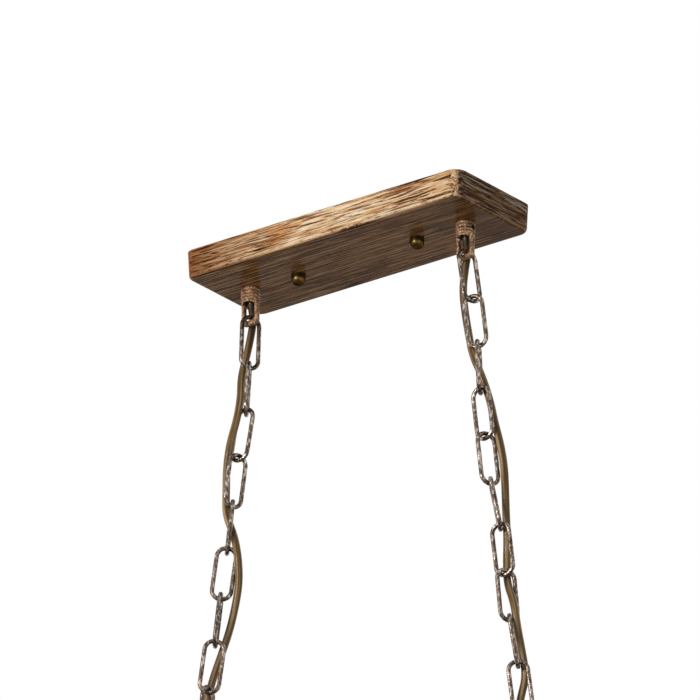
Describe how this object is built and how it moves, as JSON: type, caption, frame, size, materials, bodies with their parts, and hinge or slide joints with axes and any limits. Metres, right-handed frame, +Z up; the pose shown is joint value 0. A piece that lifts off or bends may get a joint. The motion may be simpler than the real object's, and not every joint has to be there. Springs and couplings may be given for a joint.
{
  "type": "pendant light canopy with chains",
  "caption": "Shallow wooden ceiling canopy with cap nuts and ribbed collar loops; two spreading link chains hang from it with a cord woven through each, to carry a pendant light.",
  "frame": {"origin": "middle of the canopy on the ceiling plane, between the two screw slots of its mounting strap", "axes": "+X along the canopy's length, +Z up into the ceiling"},
  "size_m": [0.3474, 0.11, 0.5405],
  "materials": {
    "wood": "wire-brushed, satin lacquer",
    "zinc_steel": "zinc plated",
    "earth_brass": "plain",
    "rubbed_bronze": "cast, bronze plated, rubbed bright on the ridges",
    "nipple_alloy": "threaded tube",
    "chain_bronze": "distressed, rubbed pale on the edges",
    "aged_brass": "aged",
    "cord_cover": "satin cover",
    "grip_plastic": "matte",
    "connector_plastic": "matte"
  },
  "bodies": {
    "canopy": {"canopy_shell": "wood", "mounting_bracket": "zinc_steel", "earth_screw": "earth_brass", "canopy_studs": "zinc_steel", "lock_nuts": "zinc_steel", "upper_loops": "rubbed_bronze", "upper_nipples": "nipple_alloy", "cord_grips": "grip_plastic", "cable_ends": "cord_cover", "wire_connectors": "connector_plastic", "left_cord_01": "cord_cover", "right_cord_01": "cord_cover"},
    "left_link_01": {"left_link_01": "chain_bronze", "left_cord_02": "cord_cover"},
    "left_link_02": {"left_link_02": "chain_bronze", "left_cord_03": "cord_cover"},
    "left_link_03": {"left_link_03": "chain_bronze", "left_cord_04": "cord_cover"},
    "left_link_04": {"left_link_04": "chain_bronze", "left_cord_05": "cord_cover"},
    "left_link_05": {"left_link_05": "chain_bronze", "left_cord_06": "cord_cover"},
    "left_link_06": {"left_link_06": "chain_bronze", "left_cord_07": "cord_cover"},
    "left_link_07": {"left_link_07": "chain_bronze", "left_cord_08": "cord_cover"},
    "left_link_08": {"left_link_08": "chain_bronze", "left_cord_09": "cord_cover"},
    "left_link_09": {"left_link_09": "chain_bronze", "left_cord_10": "cord_cover"},
    "left_link_10": {"left_link_10": "chain_bronze", "left_cord_11": "cord_cover"},
    "left_lower_loop": {"lower_loop_left": "rubbed_bronze", "lower_nipple_left": "nipple_alloy", "lower_cable_left": "cord_cover"},
    "left_cap_nut": {"cap_nut_left": "aged_brass"},
    "right_link_01": {"right_link_01": "chain_bronze", "right_cord_02": "cord_cover"},
    "right_link_02": {"right_link_02": "chain_bronze", "right_cord_03": "cord_cover"},
    "right_link_03": {"right_link_03": "chain_bronze", "right_cord_04": "cord_cover"},
    "right_link_04": {"right_link_04": "chain_bronze", "right_cord_05": "cord_cover"},
    "right_link_05": {"right_link_05": "chain_bronze", "right_cord_06": "cord_cover"},
    "right_link_06": {"right_link_06": "chain_bronze", "right_cord_07": "cord_cover"},
    "right_link_07": {"right_link_07": "chain_bronze", "right_cord_08": "cord_cover"},
    "right_link_08": {"right_link_08": "chain_bronze", "right_cord_09": "cord_cover"},
    "right_link_09": {"right_link_09": "chain_bronze", "right_cord_10": "cord_cover"},
    "right_link_10": {"right_link_10": "chain_bronze", "right_cord_11": "cord_cover"},
    "right_lower_loop": {"lower_loop_right": "rubbed_bronze", "lower_nipple_right": "nipple_alloy", "lower_cable_right": "cord_cover"},
    "right_cap_nut": {"cap_nut_right": "aged_brass"}
  },
  "joints": [
    {"name": "left_swing_01", "type": "hinge", "parent": "canopy", "child": "left_link_01", "pos_m": [-0.1195, 0, -0.05825], "axis": [1, 0, 0], "range_deg": [-15, 15], "deforming": ["left_cord_01"]},
    {"name": "left_swing_02", "type": "hinge", "parent": "left_link_01", "child": "left_link_02", "pos_m": [-0.12035, -0.00063, -0.10173], "axis": [0.4062, 0.9135, -0.023], "range_deg": [-15, 15], "deforming": ["left_cord_02"]},
    {"name": "left_swing_03", "type": "hinge", "parent": "left_link_02", "child": "left_link_03", "pos_m": [-0.12293, -0.00183, -0.14589], "axis": [-0.5587, 0.8293, 0.0095], "range_deg": [-15, 15], "deforming": ["left_cord_03"]},
    {"name": "left_swing_04", "type": "hinge", "parent": "left_link_03", "child": "left_link_04", "pos_m": [-0.12945, -0.00487, -0.18957], "axis": [-0.989, -0.0436, 0.1416], "range_deg": [-15, 15], "deforming": ["left_cord_04"]},
    {"name": "left_swing_05", "type": "hinge", "parent": "left_link_04", "child": "left_link_05", "pos_m": [-0.1342, -0.00709, -0.23351], "axis": [-0.2677, -0.9602, 0.0796], "range_deg": [-15, 15], "deforming": ["left_cord_05"]},
    {"name": "left_swing_06", "type": "hinge", "parent": "left_link_05", "child": "left_link_06", "pos_m": [-0.13825, -0.00898, -0.27754], "axis": [0.6666, -0.7448, -0.0299], "range_deg": [-15, 15], "deforming": ["left_cord_06"]},
    {"name": "left_swing_07", "type": "hinge", "parent": "left_link_06", "child": "left_link_07", "pos_m": [-0.14367, -0.01151, -0.32138], "axis": [0.7791, 0.6136, -0.1288], "range_deg": [-15, 15], "deforming": ["left_cord_07"]},
    {"name": "left_swing_08", "type": "hinge", "parent": "left_link_07", "child": "left_link_08", "pos_m": [-0.14806, -0.01355, -0.36537], "axis": [-0.5575, 0.83, 0.0173], "range_deg": [-15, 15], "deforming": ["left_cord_08"]},
    {"name": "left_swing_09", "type": "hinge", "parent": "left_link_08", "child": "left_link_09", "pos_m": [-0.15345, -0.01606, -0.40922], "axis": [-0.7791, -0.6136, 0.1288], "range_deg": [-15, 15], "deforming": ["left_cord_09"]},
    {"name": "left_swing_10", "type": "hinge", "parent": "left_link_09", "child": "left_link_10", "pos_m": [-0.15829, -0.01832, -0.45314], "axis": [0.109, -0.9933, 0.0394], "range_deg": [-15, 15], "deforming": ["left_cord_10"]},
    {"name": "left_lower_swing", "type": "hinge", "parent": "left_link_10", "child": "left_lower_loop", "pos_m": [-0.16318, -0.0206, -0.49706], "axis": [0.9816, -0.1625, -0.1008], "range_deg": [-15, 15], "deforming": ["left_cord_11"]},
    {"name": "left_cap_turn", "type": "hinge", "parent": "canopy", "child": "left_cap_nut", "pos_m": [-0.066, 0, -0.0255], "axis": [0, 0, 1], "continuous": true},
    {"name": "right_swing_01", "type": "hinge", "parent": "canopy", "child": "right_link_01", "pos_m": [0.1195, 0, -0.05825], "axis": [1, 0, 0], "range_deg": [-15, 15], "deforming": ["right_cord_01"]},
    {"name": "right_swing_02", "type": "hinge", "parent": "right_link_01", "child": "right_link_02", "pos_m": [0.12563, 0.00262, -0.10135], "axis": [0.3166, 0.9445, 0.0879], "range_deg": [-15, 15], "deforming": ["right_cord_02"]},
    {"name": "right_swing_03", "type": "hinge", "parent": "right_link_02", "child": "right_link_03", "pos_m": [0.13003, 0.00468, -0.14534], "axis": [0.9691, 0.2211, 0.109], "range_deg": [-15, 15], "deforming": ["right_cord_03"]},
    {"name": "right_swing_04", "type": "hinge", "parent": "right_link_03", "child": "right_link_04", "pos_m": [0.13134, 0.00529, -0.18958], "axis": [0.4847, -0.8747, 0.0028], "range_deg": [-15, 15], "deforming": ["right_cord_04"]},
    {"name": "right_swing_05", "type": "hinge", "parent": "right_link_04", "child": "right_link_05", "pos_m": [0.13573, 0.00733, -0.23357], "axis": [0.9955, -0.0216, 0.0923], "range_deg": [-15, 15], "deforming": ["right_cord_05"]},
    {"name": "right_swing_06", "type": "hinge", "parent": "right_link_05", "child": "right_link_06", "pos_m": [0.13985, 0.00926, -0.27759], "axis": [0.3847, 0.9199, 0.0762], "range_deg": [-15, 15], "deforming": ["right_cord_06"]},
    {"name": "right_swing_07", "type": "hinge", "parent": "right_link_06", "child": "right_link_07", "pos_m": [0.14757, 0.01285, -0.32103], "axis": [-0.5823, 0.8122, -0.0345], "range_deg": [-15, 15], "deforming": ["right_cord_07"]},
    {"name": "right_swing_08", "type": "hinge", "parent": "right_link_07", "child": "right_link_08", "pos_m": [0.15173, 0.0148, -0.36505], "axis": [-0.9894, -0.1001, -0.1053], "range_deg": [-15, 15], "deforming": ["right_cord_08"]},
    {"name": "right_swing_09", "type": "hinge", "parent": "right_link_08", "child": "right_link_09", "pos_m": [0.1549, 0.01627, -0.40917], "axis": [-0.4345, -0.8984, -0.0636], "range_deg": [-15, 15], "deforming": ["right_cord_09"]},
    {"name": "right_swing_10", "type": "hinge", "parent": "right_link_09", "child": "right_link_10", "pos_m": [0.16133, 0.01927, -0.45286], "axis": [0.5274, -0.8494, 0.0184], "range_deg": [-15, 15], "deforming": ["right_cord_10"]},
    {"name": "right_lower_swing", "type": "hinge", "parent": "right_link_10", "child": "right_lower_loop", "pos_m": [0.16609, 0.02149, -0.4968], "axis": [0.7804, 0.6139, 0.1187], "range_deg": [-15, 15], "deforming": ["right_cord_11"]},
    {"name": "right_cap_turn", "type": "hinge", "parent": "canopy", "child": "right_cap_nut", "pos_m": [0.066, 0, -0.0255], "axis": [0, 0, 1], "continuous": true}
  ]
}
